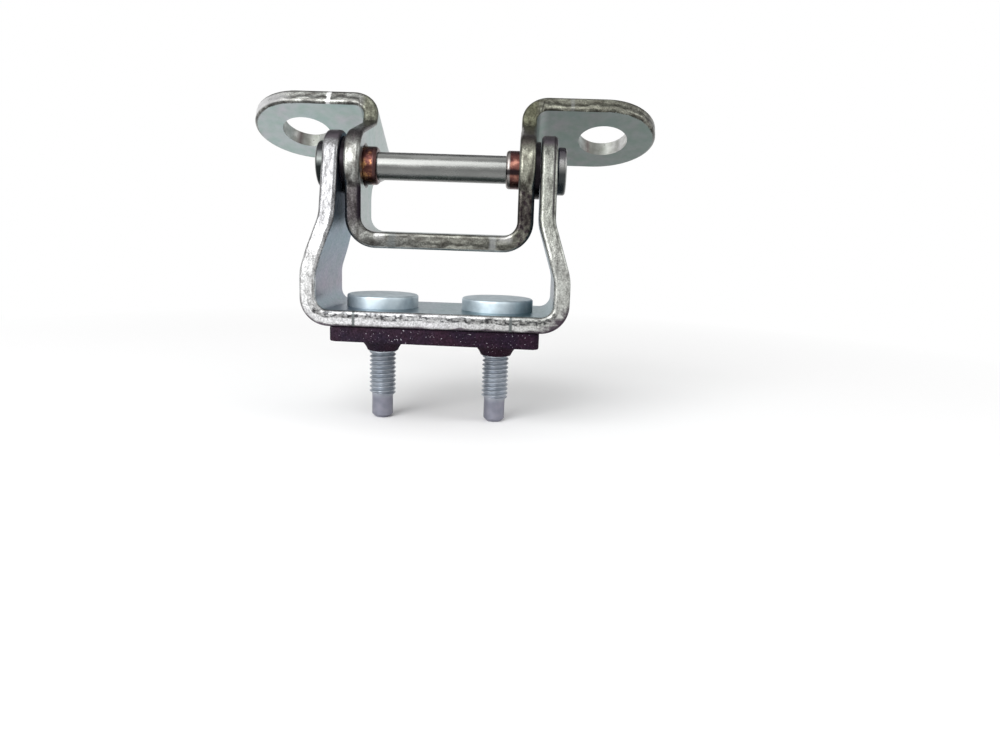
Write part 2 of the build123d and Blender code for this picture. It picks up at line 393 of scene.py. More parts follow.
def height_share(material, along, low, high, start_mm, end_mm):
    """Map a height over the pin's axis onto the values from low to high."""
    start, end = [pin_axis_z + height_mm * MM for height_mm in (start_mm, end_mm)]
    return spread(material, along["Z"], low, high, start, end)


def wandering(material, value, pattern, reach):
    """Let a boundary wander by up to about a fifth of this reach each way."""
    swing = maths(material, "MULTIPLY", maths(material, "SUBTRACT", pattern, 0.5), reach)
    return maths(material, "ADD", value, swing)


def body_marks_and_shade(finish, along, patches, colour):
    # Painted shade on the tops of both ears.
    ear_tops = height_share(finish, along, 0.0, 1.0, start_mm=4.6, end_mm=5.6)
    colour = mixed(finish, ear_tops, colour, EAR_SHADE)
    # Painted shade on the right-hand bend.
    corner = wandering(finish, maths(finish, "SUBTRACT", along["X"], along["Z"]), patches, reach=9 * MM)
    in_corner = spread(finish, corner, 0.0, 0.9, *BEND_SHADE_START)
    colour = mixed(finish, in_corner, colour, BEND_SHADE)
    for centre_mm in BASE_BARS_MM:
        colour = mixed(finish, bar(finish, along["X"], centre_mm, half_mm=0.4), colour, BAR_DARK)
    frayed = wandering(finish, along["X"], patches, reach=0.4 * MM)
    burr = bar(finish, frayed, BURR_MM, half_mm=0.3)
    upper_arm = height_share(finish, along, 0.0, 0.75, start_mm=-11, end_mm=-9)
    return mixed(finish, product(finish, burr, upper_arm), colour, BURR_STAIN)


print("bars on the base at", BASE_BARS_MM, "mm, burr line at", BURR_MM, "mm")


# %% [markdown]
# ## The body bracket's edge as a whole
# The base has the bands, the arms only the streaks. The edge is painted darker up the arms towards the pin,
# and painted shade darkens it towards the right, away from the lamps at the left. The rear edges were
# tumbled smooth, so a calm grey covers most of the mottling.

# %% Body bracket edges
BEND_RADIUS = 6.1 * MM
BODY_PATCHES = [(0.33, (0.34, 0.34, 0.34)), (0.48, (0.62, 0.62, 0.62)), (0.64, (0.86, 0.87, 0.87))]
# Painted shade: both ramps darken towards the right end, away from the lamps at the left; the upper one,
# for the arms near the pin, is darker.
LOW_SIDE_SHADE = [(0.1, (0.83, 0.83, 0.83)), (0.5, (0.84, 0.84, 0.85)), (0.95, (0.68, 0.69, 0.65))]
HIGH_SIDE_SHADE = [(0.2, (0.40, 0.40, 0.41)), (0.8, (0.355, 0.365, 0.33))]
BODY_CALM = (0.44, 0.45, 0.45)
CALM_SHARE = 0.72


def body_edge_finish():
    finish, place, along = placed_finish("body_edge")
    arms = spread(finish, along["Z"], 0.0, 1.0, base_bottom_z + SHEET, base_bottom_z + 2 * SHEET)
    patches = streaks(finish, place, arms, size_mm=0.9)
    specks = noise(finish, place, size_mm=0.30, detail=3.0)
    plain = ramp(finish, patches, BODY_PATCHES)
    depth = depth_in_bend(finish, along, base_high.x, base_bottom_z, BEND_RADIUS)
    depth = wandering(finish, depth, noise(finish, place, size_mm=4.0, detail=2.0), reach=1.6 * MM)
    banded = sheared_bands(finish, place, plain, depth)
    colour = speckled(finish, mixed(finish, arms, banded, plain), specks)
    # Painted shade along the edge: darker to the right and up the arms.
    side = spread(finish, along["X"], 0.0, 1.0, start=-30 * MM, end=30 * MM)
    upper = spread(finish, along["Z"], 0.0, 1.0, start=20 * MM, end=30 * MM)
    side_shade = mixed(finish, upper, ramp(finish, side, LOW_SIDE_SHADE), ramp(finish, side, HIGH_SIDE_SHADE))
    colour = body_marks_and_shade(finish, along, patches, multiply(finish, colour, side_shade))
    rear = spread(finish, along["Y"], 0.0, CALM_SHARE, start=-2 * MM, end=4 * MM)
    edge_shader(finish, mixed(finish, rear, colour, BODY_CALM), patches, specks)
    return finish


body_edge = body_edge_finish()
print("finish:", body_edge.name)

# %% [markdown]
# ## Places on the tailgate bracket
# The flanges slope down to the rear, so a place on them is told by its distance from the pin along the
# flange's own two directions. The strap and the flanges lie at different distances from the middle, and
# that tells which of the two measures counts.

# %% Places on the tailgate bracket
FLANGE_TILT = math.radians(29.0)
FLANGE_UNDERSIDE = 20.55 * MM
FLANGE_START = (21 * MM, 22 * MM)
STRAP_SHARES = (0.14, 0.96)
flange_up = Vector((0, math.sin(FLANGE_TILT), math.cos(FLANGE_TILT)))
flange_rear = Vector((0, math.cos(FLANGE_TILT), -math.sin(FLANGE_TILT)))


def from_pin(finish, place, direction):
    """Distance from the pin's axis along a direction."""
    reach = add_node(finish, "ShaderNodeVectorMath", operation="DOT_PRODUCT")
    join(finish, place, reach.inputs[0])
    reach.inputs[1].default_value = direction
    return maths(finish, "SUBTRACT", reach.outputs["Value"], pin_axis_z * direction.z)


def share_of_sheet(finish, place, along, off_centre):
    """From the underside to the upper side: 0 to 1 in the flanges, a little less in the cross-strap."""
    above_underside = maths(finish, "SUBTRACT", from_pin(finish, place, flange_up), FLANGE_UNDERSIDE)
    in_flange = maths(finish, "DIVIDE", above_underside, SHEET)
    in_strap = spread(finish, along["Z"], *STRAP_SHARES, strap_bottom_z, strap_bottom_z + SHEET)
    flanges = spread(finish, off_centre, 0.0, 1.0, *FLANGE_START)
    return mixed_value(finish, flanges, in_strap, in_flange)


print("flanges look along", flange_up[:])

# %% [markdown]
# ## Tones of the tailgate bracket's edge
# The tool left lines along the strap and the flanges: a bright land near the underside, a dark tear above
# it and a duller band on top, and painted shade darkens the flanges' underside rim below the land. The
# walls have none. They are painted darker under the pin and again over their ears, and a painted highlight
# brightens them where the ears bulge forward. Painted shade darkens the edge from the bright left end to
# the dull right end, away from the lamps at the left, and the right end is also olive.

# %% Tailgate edge tones
EDGE_PATCHES = [
    (0.34, (0.270, 0.260, 0.245)),
    (0.50, (0.510, 0.510, 0.485)),
    (0.66, (0.860, 0.870, 0.830)),
]
# The first stop is painted shade along the flanges' underside rim; the other stops are the tool's lines.
SHEAR_LINES_AND_RIM_SHADE = greys(
    (0.03, 0.42),
    (0.12, 1.00),
    (0.26, 1.00),
    (0.36, 0.34),
    (0.48, 0.42),
    (0.62, 0.92),
    (0.80, 0.74),
    (0.92, 0.96),
    (1.00, 0.60),
)
WALL_SHARE = (0.71, 0.71, 0.71)
# Painted shade: the edge darkens from the bright left end towards the right, away from the lamps at the
# left; the olive is the edge's own tint.
SIDE_SHADE_AND_TINT = [
    (0.03, (1.00, 1.00, 1.00)),
    (0.16, (0.75, 0.76, 0.75)),
    (0.31, (0.685, 0.69, 0.685)),
    (0.37, (0.56, 0.565, 0.56)),
    (0.41, (0.58, 0.58, 0.57)),
    (0.47, (0.655, 0.655, 0.62)),
    (0.55, (0.65, 0.65, 0.60)),
    (0.61, (0.55, 0.55, 0.51)),
    (0.69, (0.62, 0.62, 0.54)),
    (0.84, (0.71, 0.71, 0.61)),
    (1.00, (0.46, 0.455, 0.42)),
]
# The walls are painted darker under the pin and over the ears, with a painted highlight where the ears
# bulge forward.
WALL_TONES_AND_HIGHLIGHT = [
    (0.15, (0.64, 0.64, 0.64)),
    (0.22, (0.290, 0.262, 0.285)),
    (0.38, (0.310, 0.285, 0.300)),
    (0.46, (1.0, 1.0, 1.0)),
    (0.61, (1.0, 1.0, 1.0)),
    (0.65, (0.38, 0.33, 0.36)),
    (0.72, (0.40, 0.35, 0.36)),
    (0.76, (0.62, 0.63, 0.52)),
]
PLAIN_TONE = (0.65, 0.65, 0.65)


def tailgate_tones(edge, colour):
    finish = edge.finish
    slow = noise(finish, edge.place, size_mm=2.4, detail=3.0)
    lines = ramp(finish, wandering(finish, edge.share, slow, reach=0.6), SHEAR_LINES_AND_RIM_SHADE)
    colour = multiply(finish, colour, mixed(finish, edge.walls, lines, WALL_SHARE))
    colour = multiply(finish, colour, ramp(finish, edge.side, SIDE_SHADE_AND_TINT))
    height = height_share(finish, edge.along, 0.0, 1.0, start_mm=-20, end_mm=20)
    wall_tone_and_highlight = ramp(finish, wandering(finish, height, edge.patches, reach=0.14), WALL_TONES_AND_HIGHLIGHT)
    off_walls = maths(finish, "SUBTRACT", 1.0, edge.walls)
    return multiply(finish, colour, mixed(finish, off_walls, wall_tone_and_highlight, PLAIN_TONE))


print(len(SHEAR_LINES_AND_RIM_SHADE), "tones across the sheet,", len(SIDE_SHADE_AND_TINT), "along the strap")


# %% [markdown]
# ## Stains, painted shade and a painted highlight on the walls
# Old grease ran down the walls, and the right one is blotched all over. Painted shade lays a black strip
# along the left wall's inner side. The strap's outer rim is painted paler, a painted highlight that keeps
# its rounding from drawing a dark line round the U.

# %% Wall stains
WALL_FACE = 20.425 * MM
STRAP_BEND = 6.6 * MM
# Painted highlight: the strap's rounded outer rim is painted paler.
RIM_HIGHLIGHT_WIDTH = (0.1 * MM, 0.55 * MM)
RIM_HIGHLIGHT = (0.66, 0.67, 0.66)
RIM_HIGHLIGHT_SHARES = greys(
    (0.296, 0.08),
    (0.325, 0.50),
    (0.360, 0.80),
    (0.630, 0.80),
    (0.675, 0.30),
    (0.704, 0.05),
)
BLOTCHES = [(0.40, (0.34, 0.28, 0.36)), (0.56, (1.0, 1.0, 1.0))]
# Painted shade: a black strip along the left wall's inner side.
WALL_SHADE_STRIP_MM = -16.6
WALL_SHADE_STRIP = (0.013, 0.009, 0.015)


def wall_stains_and_painted_light(edge, colour):
    finish = edge.finish
    across = edge.along["X"]
    blotches = ramp(finish, noise(finish, edge.place, size_mm=0.9, detail=5.0), BLOTCHES)
    to_right = spread(finish, across, 0.3, 1.0, start=-MM, end=MM)
    blotchy = product(finish, edge.below_pin, edge.walls, to_right)
    colour = mixed(finish, blotchy, colour, multiply(finish, colour, blotches))
    # Painted highlight on the strap's outer rim.
    depth = depth_in_bend(finish, edge.along, WALL_FACE, strap_bottom_z, STRAP_BEND)
    rim = spread(finish, depth, 1.0, 0.0, *RIM_HIGHLIGHT_WIDTH)
    rim = product(finish, rim, edge.below_pin, ramp(finish, edge.side, RIM_HIGHLIGHT_SHARES))
    colour = mixed(finish, rim, colour, RIM_HIGHLIGHT)
    # Painted shade strip along the left wall's inner side.
    frayed = wandering(finish, across, edge.patches, reach=0.8 * MM)
    strip = bar(finish, frayed, WALL_SHADE_STRIP_MM, half_mm=1.5)
    above_bend = height_share(finish, edge.along, 0.0, 0.92, start_mm=-12.5, end_mm=-11)
    return mixed(finish, product(finish, strip, above_bend, edge.below_pin), colour, WALL_SHADE_STRIP)


print("black strip at", WALL_SHADE_STRIP_MM, "mm")


# %% [markdown]
# ## Tool marks and painted highlights on the tailgate bracket
# Where two strokes of the tool met, a bar crosses the edge, bright or dark. At both ends of the strap a
# painted highlight brightens the upper half of the edge where it bends, and another painted highlight
# brightens the left lobe between its two rims.

# %% Tool marks
BAR_BRIGHT = (0.27, 0.28, 0.28)
TOOL_BARS = [
    (-10.1, 1.1, BAR_DARK, 0.55),
    (11.8, 1.0, BAR_BRIGHT, 0.55),
    (-29.1, 0.6, BURNISHED_AND_HIGHLIGHT, 0.6),
    (28.7, 0.6, BAR_BRIGHT, 0.35),
]
# Painted highlights on the upper half of the edge where the strap bends.
BEND_HIGHLIGHTS = [(-12.8, 1.4), (14.4, 1.8)]
LOBE_HIGHLIGHT_START = (-45 * MM, -38 * MM)
LOBE_HIGHLIGHT_BAND = greys((0.10, 0.0), (0.22, 1.0), (0.74, 1.0), (0.86, 0.0))


def tool_marks_and_highlights(edge, colour):
    finish = edge.finish
    across = edge.along["X"]
    frayed = wandering(finish, across, edge.patches, reach=1.2 * MM)
    upper_half = spread(finish, edge.share, 0.0, 0.24, start=0.5, end=0.8)
    # Painted highlights at both bends.
    for centre_mm, half_mm in BEND_HIGHLIGHTS:
        mark = product(finish, bar(finish, frayed, centre_mm, half_mm), upper_half)
        colour = mixed(finish, mark, colour, BURNISHED_AND_HIGHLIGHT)
    for centre_mm, half_mm, bar_colour, strength in TOOL_BARS:
        mark = product(finish, bar(finish, frayed, centre_mm, half_mm), strength)
        colour = mixed(finish, mark, colour, bar_colour)
    # Painted highlight on the left lobe.
    lobe_highlight = spread(finish, wandering(finish, across, edge.patches, reach=5 * MM), 0.7, 0.0, *LOBE_HIGHLIGHT_START)
    lobe_highlight = product(finish, lobe_highlight, ramp(finish, edge.share, LOBE_HIGHLIGHT_BAND))
    return mixed(finish, lobe_highlight, colour, BURNISHED_AND_HIGHLIGHT)


print(len(TOOL_BARS), "tool bars")


# %% [markdown]
# ## The tailgate bracket's edge as a whole
# The masks that several steps need are made once and handed on together. The steps follow one another,
# and the rear edges are calmed at the end, as on the body bracket.

# %% Tailgate bracket edges
WALL_CENTRE_MM = 18.7
WALL_REACH_MM = 2.6
TAILGATE_CALM = (0.30, 0.31, 0.30)
CALM_START = (13 * MM, 18 * MM)


def tailgate_edge_finish():
    finish, place, along = placed_finish("tailgate_edge")
    off_centre = maths(finish, "ABSOLUTE", along["X"])
    walls = bar(finish, off_centre, WALL_CENTRE_MM, WALL_REACH_MM)
    edge = SimpleNamespace(finish=finish, place=place, along=along, walls=walls)
    edge.patches = streaks(finish, place, walls, size_mm=1.0)
    edge.share = share_of_sheet(finish, place, along, off_centre)
    edge.side = spread(finish, along["X"], 0.0, 1.0, start=-50 * MM, end=50 * MM)
    edge.below_pin = height_share(finish, along, 1.0, 0.0, start_mm=-5, end_mm=-3.5)
    specks = noise(finish, place, size_mm=0.30, detail=3.0)
    colour = speckled(finish, ramp(finish, edge.patches, EDGE_PATCHES), specks)
    colour = tailgate_tones(edge, colour)
    colour = wall_stains_and_painted_light(edge, colour)
    colour = tool_marks_and_highlights(edge, colour)
    flange_rears = spread(finish, from_pin(finish, place, flange_rear), 0.0, CALM_SHARE, *CALM_START)
    strap_rear = spread(finish, along["Y"], 0.0, CALM_SHARE, start=-MM, end=4 * MM)
    rear = maths(finish, "MAXIMUM", flange_rears, product(finish, strap_rear, edge.below_pin))
    edge_shader(finish, mixed(finish, rear, colour, TAILGATE_CALM), edge.patches, specks)
    return finish


tailgate_edge = tailgate_edge_finish()
print("finish:", tailgate_edge.name)

# %% [markdown]
# ## The punched holes
# A punch leaves a hole with a burnished wall, smoother than the strap's sheared edges. To the left it is
# dull with one brown stain, to the right a painted highlight makes it bright, and faint marks and a few
# dark ticks run over it. One ramp across the hole gives the tones, the stain and the painted highlight,
# and two noises the rest.

# %% Punched holes
HOLE_X = 36.9 * MM
HOLE_RADIUS = 6.0 * MM
# Across the hole: dull on the left, a brown stain, and a painted highlight on the right side, which faces
# the lamps at the left.
BORE_TONES_AND_HIGHLIGHT = [
    (0.05, (0.32, 0.355, 0.345)),
    (0.16, (0.265, 0.265, 0.255)),
    (0.23, (0.125, 0.108, 0.104)),
    (0.31, (0.235, 0.24, 0.225)),
    (0.60, (0.31, 0.325, 0.30)),
    (0.90, (0.66, 0.66, 0.65)),
]
BORE_MARKS = [(0.38, (0.72, 0.72, 0.70)), (0.62, (1.0, 1.0, 1.0))]
TICK_STAIN = (0.09, 0.075, 0.07)


def punched_finish():
    finish, place, along = placed_finish("punched_hole")
    marks = noise(finish, place, size_mm=1.6, detail=3.0)
    hole_centre = maths(finish, "MULTIPLY", maths(finish, "SIGN", along["X"]), HOLE_X)
    across = maths(finish, "SUBTRACT", along["X"], hole_centre)
    colour = ramp(finish, spread(finish, across, 0.0, 1.0, -HOLE_RADIUS, HOLE_RADIUS), BORE_TONES_AND_HIGHLIGHT)
    colour = multiply(finish, colour, ramp(finish, marks, BORE_MARKS))
    ticks = noise(finish, place, size_mm=0.8, detail=1.0)
    colour = mixed(finish, spread(finish, ticks, 0.0, 1.0, start=0.72, end=0.76), colour, TICK_STAIN)
    bare_metal(finish, colour, spread(finish, marks, low=0.40, high=0.28))
    return finish


punched_hole = punched_finish()
print("finish:", punched_hole.name)

# %% [markdown]
# ## Which facets are cut edges
# A strap that is bent only about one line has faces that never look along that line. So on the body
# bracket a facet that looks along the strap's width is a cut edge. On the tailgate bracket the walls
# and the sloping flanges have their own bend lines, and each zone is asked along its own.

# %% Tell edges from faces
FLANGE_BEND_START = 17.75 * MM
FLANGE_BEND_END_X = 23.3 * MM
STRAP_TOP_Z = 30.4 * MM
FACE_ON = 0.98
EDGE_ON = 0.2
EAR_ZONE_Z = pin_axis_z - 5 * MM
HOLE_REACH = 17.85 * MM
BORE_MARGIN = 0.1 * MM
pin_middle = Vector((0, 0, pin_axis_z))


def on_body_edge(centre, normal):
    if centre.z > EAR_ZONE_Z:
        return abs(normal.x) < FACE_ON
    return abs(normal.y) > EDGE_ON


def on_tailgate_edge(centre, normal):
    height = (centre - pin_middle).dot(flange_up)
    if centre.z < STRAP_TOP_Z:
        return abs(normal.y) > EDGE_ON
    if height < FLANGE_BEND_START:
        return abs(normal.x) < FACE_ON
    if abs(centre.x) < FLANGE_BEND_END_X:
        return abs(normal.dot(flange_rear)) > EDGE_ON
    return abs(normal.dot(flange_up)) < FACE_ON


def in_flange_hole(centre, normal):
    hole_side = Vector((math.copysign(HOLE_X, centre.x), 0, 0))
    from_hole = centre - pin_middle - hole_side - flange_rear * HOLE_REACH
    across = from_hole - flange_up * from_hole.dot(flange_up)
    return across.length < HOLE_RADIUS + BORE_MARGIN and abs(normal.dot(flange_up)) < FACE_ON


print(f"ears start {EAR_ZONE_Z / MM:.1f} mm up")


# %% Give the brackets their finishes
def body_slot(centre, normal):
    return int(on_body_edge(centre, normal))


def tailgate_slot(centre, normal):
    if in_flange_hole(centre, normal):
        return 2
    return int(on_tailgate_edge(centre, normal))


def dress(node_name, *finishes):
    """Give a CAD node's material slots these finishes."""
    mesh = cad_nodes[node_name].data
    mesh.materials.clear()
    for finish in finishes:
        mesh.materials.append(finish)
    print(node_name, "gets", [finish.name for finish in finishes])
    return mesh


def dress_bracket(node_name, finishes, slot_of):
    mesh = dress(node_name, *finishes)
    slots = [slot_of(facet.center, facet.normal) for facet in mesh.polygons]
    mesh.polygons.foreach_set("material_index", slots)
    counts = [slots.count(index) for index in range(len(finishes))]
    print(f"{node_name}: facets per finish {counts}")


dress_bracket("body_bracket", [body_face, body_edge], body_slot)
dress_bracket("tailgate_bracket", [tailgate_face, tailgate_edge, punched_hole], tailgate_slot)

# %% [markdown]
# ## The pin
# The pin is cut from drawn steel rod. Drawing leaves scratches that run along it, so both noises are
# stretched along the pin's own axis. Painted shade makes the shank duller below. The peened heads are
# painted dark round the rim, the left one most, with a painted highlight across their middle, and are
# bright only on their ends.

# %% Pin
HEAD_START = (24.8 * MM, 25.0 * MM)
BRIGHT_END = (pin_high.x - 0.35 * MM, pin_high.x - 0.1 * MM)
PIN_STAINS = [(0.35, (0.286, 0.292, 0.283)), (0.65, (0.350, 0.356, 0.345))]
# Painted shade on the lower half of the shank.
SHANK_SHADE = greys((0.36, 0.60), (0.44, 0.47), (0.52, 0.57), (0.66, 0.57), (0.74, 1.0))
# Painted shade round the heads' rim and a painted highlight across their middle.
HEAD_SHADE_AND_HIGHLIGHT = [
    (0.10, (0.035, 0.040, 0.042)),
    (0.42, (0.045, 0.050, 0.050)),
    (0.58, (0.230, 0.230, 0.222)),
    (0.78, (0.120, 0.115, 0.122)),
    (0.92, (0.060, 0.050, 0.066)),
]
HEAD_SIDES = [(0.0, (0.38, 0.41, 0.41)), (1.0, (1.0, 1.0, 1.0))]


def pin_finish():
    finish, place, along = placed_finish("pin_steel")
    stains = noise(finish, place, size_mm=1.6, detail=5.0, stretch=(3, 1, 1))
    colour = ramp(finish, stains, PIN_STAINS)
    height = spread(finish, along["Z"], 0.0, 1.0, pin_low.z, pin_high.z)
    shank = multiply(finish, colour, ramp(finish, height, SHANK_SHADE))
    to_right = spread(finish, along["X"], 0.0, 1.0, start=-MM, end=MM)
    head = multiply(finish, ramp(finish, height, HEAD_SHADE_AND_HIGHLIGHT), ramp(finish, to_right, HEAD_SIDES))
    off_centre = maths(finish, "ABSOLUTE", along["X"])
    head = mixed(finish, spread(finish, off_centre, 0.0, 1.0, *BRIGHT_END), head, colour)
    colour = mixed(finish, spread(finish, off_centre, 0.0, 1.0, *HEAD_START), shank, head)
    bare_metal(finish, colour, spread(finish, stains, low=0.20, high=0.32))
    scratches = noise(finish, place, size_mm=0.10, detail=3.0, stretch=(60, 1, 1))
    bump(finish, scratches, depth_mm=0.006, strength=0.6)
    return finish


dress("hinge_pin", pin_finish())

# %% [markdown]
# ## The bushes
# The bushes are rolled from bronze-coated strip and soaked in oil. The barrel is a dark red-brown, with
# painted shade above and below its middle, and the flange in the gap is black with old grease and
# painted shade. The two bushes are painted as a lit and a shaded copy of one bronze: the right one is
# lighter, with a painted highlight on its chamfer, and the left one darker. On the right one the seam
# where the strip's ends meet faces the front. Chamfer, barrel and flange lie at their own distance along
# the pin, so spreads along X paint them.

# %% Bushes
CHAMFER_END = (14.8 * MM, 15.0 * MM)
# Where old grease and painted shade blacken the flange in the gap.
FLANGE_GREASE_AND_SHADE = (20.2 * MM, 20.3 * MM)
GREASE_SEAM_AND_SHADE = (0.012, 0.010, 0.012)
SEAM_MM = pin_axis_z / MM - 0.7
# Painted shade above and below the barrel's middle.
BARREL_SHADE = [
    (0.08, (0.42, 0.34, 0.46)),
    (0.36, (1.0, 1.0, 1.0)),
    (0.60, (1.0, 1.0, 1.0)),
    (0.90, (0.55, 0.45, 0.55)),
]
# The left bush is painted as the shaded copy of the bronze, the right one below as the lit copy.
SHADED_BUSH_STAINS = [
    (0.36, (0.036, 0.014, 0.013)),
    (0.52, (0.095, 0.038, 0.031)),
    (0.64, (0.360, 0.180, 0.080)),
]
SHADED_BUSH_CHAMFER = (0.070, 0.036, 0.034)
LIT_BUSH_STAINS = [
    (0.36, (0.060, 0.024, 0.022)),
    (0.54, (0.150, 0.064, 0.052)),
    (0.72, (0.300, 0.150, 0.110)),
]
LIT_BUSH_CHAMFER = (0.24, 0.22, 0.21)


def bronze_finish(name, stain_stops, chamfer_colour, seam_share):
    finish, place, along = placed_finish(name)
    stains = noise(finish, place, size_mm=1.4, detail=4.0)
    height = spread(finish, along["Z"], 0.0, 1.0, pin_low.z, pin_high.z)
    # Painted shade above and below the barrel's middle.
    colour = multiply(finish, ramp(finish, stains, stain_stops), ramp(finish, height, BARREL_SHADE))
    off_centre = maths(finish, "ABSOLUTE", along["X"])
    # On the right bush the chamfer colour is a painted highlight.
    colour = mixed(finish, spread(finish, off_centre, 1.0, 0.0, *CHAMFER_END), colour, chamfer_colour)
    # Old grease and painted shade blacken the flange in the gap.
    colour = mixed(finish, spread(finish, off_centre, 0.0, 1.0, *FLANGE_GREASE_AND_SHADE), colour, GREASE_SEAM_AND_SHADE)
    in_front = spread(finish, along["Y"], seam_share, 0.0, start=-MM, end=0.0)
    seam = product(finish, bar(finish, along["Z"], SEAM_MM, half_mm=0.75), in_front)
    colour = mixed(finish, seam, colour, GREASE_SEAM_AND_SHADE)
    bare_metal(finish, colour, spread(finish, stains, low=0.36, high=0.24))
    bump(finish, noise(finish, place, size_mm=0.25, detail=2.0), depth_mm=0.015, strength=0.5)
    return finish


dress("bush_left", bronze_finish("shaded_bronze", SHADED_BUSH_STAINS, SHADED_BUSH_CHAMFER, seam_share=0.0))
dress("bush_right", bronze_finish("lit_bronze", LIT_BUSH_STAINS, LIT_BUSH_CHAMFER, seam_share=0.9))

# %% [markdown]
# ## The threaded studs
# A stud is turned, headed and thread-rolled. It could be spun from one drawn profile, but pulling a ring
# up from station to station is closer to how the lathe leaves it, and gives even rings where the thread
# comes. The thread itself is a push of each ring's points inwards, by how far they lie from the crest of
# a helix that climbs one pitch per turn.

# %% Stud sizes
STUD_SEGMENTS = 72
STUD_RADIUS = 3.0 * MM
NECK_RADIUS = 3.1 * MM
THREAD_PITCH = 1.0 * MM
THREAD_DEPTH = 0.55 * MM
RINGS_PER_PITCH = 12
PILOT_RADIUS = 2.4 * MM
PILOT_LENGTH = 5.1 * MM
PILOT_CHAMFER = 0.75 * MM
HEAD_RADIUS = (stud_high.x - stud_low.x) / 2
HEAD_HEIGHT = 2.7 * MM
HEAD_ROUND = 0.5 * MM
ROUND_STEPS = 6
head_seat_z = stud_high.z - HEAD_HEIGHT
pilot_top_z = floor_z + PILOT_LENGTH
thread_start_z = pilot_top_z + STUD_RADIUS - PILOT_RADIUS
thread_end_z = gasket_low.z
thread_length = thread_end_z - thread_start_z


def stud_stations():
    """(radius, height) pairs from the tip up to the top of the head."""
    stations = [
        (PILOT_RADIUS - PILOT_CHAMFER, floor_z),
        (PILOT_RADIUS, floor_z + PILOT_CHAMFER),
        (PILOT_RADIUS, pilot_top_z),
    ]
    ring_count = round(thread_length / THREAD_PITCH * RINGS_PER_PITCH)
    for ring in range(ring_count + 1):
        stations.append((STUD_RADIUS, thread_start_z + thread_length * ring / ring_count))
    stations += [(NECK_RADIUS, thread_end_z), (NECK_RADIUS, head_seat_z), (HEAD_RADIUS, head_seat_z)]
    for step in range(ROUND_STEPS + 1):
        angle = math.pi / 2 * step / ROUND_STEPS
        radius = HEAD_RADIUS - HEAD_ROUND * (1 - math.cos(angle))
        stations.append((radius, stud_high.z - HEAD_ROUND * (1 - math.sin(angle))))
    return stations


print(f"{len(stud_stations())} rings on a stud")

# %% Turn a piece
SAME_LENGTH = 1e-7


def turned(name, stations, segments):
    """Pull a ring from station to station along Z, and close both ends."""
    bpy.ops.object.select_all(action="DESELECT")
    radius, height = stations[0]
    bpy.ops.mesh.primitive_circle_add(vertices=segments, radius=radius, location=(0, 0, height))
    piece = bpy.context.object
    piece.name = name
    bpy.ops.object.transform_apply(location=True, rotation=True, scale=True)
    bpy.ops.object.mode_set(mode="EDIT")
    bpy.ops.mesh.select_all(action="SELECT")
    bpy.ops.mesh.edge_face_add()
    bpy.ops.mesh.select_mode(type="EDGE")
    bpy.ops.mesh.select_all(action="SELECT")
    for next_radius, next_height in stations[1:]:
        bpy.ops.mesh.extrude_edges_move(TRANSFORM_OT_translate={"value": (0, 0, next_height - height)})
        if abs(next_radius - radius) > SAME_LENGTH:
            factor = next_radius / radius
            bpy.ops.transform.resize(value=(factor, factor, 1), center_override=(0, 0, next_height))
        radius, height = next_radius, next_height
    bpy.ops.mesh.edge_face_add()
    bpy.ops.mesh.select_all(action="SELECT")
    bpy.ops.mesh.normals_make_consistent(inside=False)
    bpy.ops.object.mode_set(mode="OBJECT")
    return piece


# %% Cut a thread
CREST_SHARE = 0.15
FLANK_SHARE = 0.75


def in_thread(radius, height):
    in_length = thread_start_z - SAME_LENGTH <= height <= thread_end_z + SAME_LENGTH
    return in_length and radius <= STUD_RADIUS + SAME_LENGTH


def cut_thread(piece):
    """Push the shank's points in between the crests of a right-hand helix."""
    for vertex in piece.data.vertices:
        radius = math.hypot(vertex.co.x, vertex.co.y)
        if not in_thread(radius, vertex.co.z):
            continue
        turn = math.atan2(vertex.co.y, vertex.co.x) / (2 * math.pi)
        phase = (vertex.co.z / THREAD_PITCH - turn) % 1.0
        below_crest = abs(2 * phase - 1)
        depth = THREAD_DEPTH * min(max((below_crest - CREST_SHARE) / FLANK_SHARE, 0.0), 1.0)
        vertex.co.x *= (radius - depth) / radius
        vertex.co.y *= (radius - depth) / radius


print(f"{thread_length / THREAD_PITCH:.1f} turns of thread")


# %% Copy a piece
def select_only(piece):
    bpy.ops.object.select_all(action="DESELECT")
    piece.select_set(True)
    bpy.context.view_layer.objects.active = piece


def copy_along_x(piece, name, offset):
    """Copy a piece with a mesh of its own, and write the copy's new place into that mesh."""
    select_only(piece)
    bpy.ops.object.duplicate(linked=False)
    copy = bpy.context.object
    copy.name = name
    bpy.ops.transform.translate(value=(offset, 0, 0))
    bpy.ops.object.transform_apply(location=True, rotation=True, scale=True)
    return copy


# %% [markdown]
# ## Zinc on the studs
# The studs have the same plate as the brackets, but on a bright turned surface, so it looks bluer. The
# plain pilot under the thread leans to lavender and the head is paler and more satin, so the tint and the
# gloss follow the height.

# %% Stud finish
STUD_METALLIC = 0.85
STUD_SHADE = [(0.34, (0.78, 0.80, 0.82)), (0.64, (1.0, 1.0, 1.0))]
STUD_TINTS = [
    (0.16, (0.265, 0.265, 0.315)),
    (0.22, (0.400, 0.430, 0.470)),
    (0.86, (0.400, 0.430, 0.470)),
    (0.91, (0.490, 0.560, 0.600)),
    (0.97, (0.510, 0.580, 0.620)),
    (0.995, (0.600, 0.680, 0.720)),
]


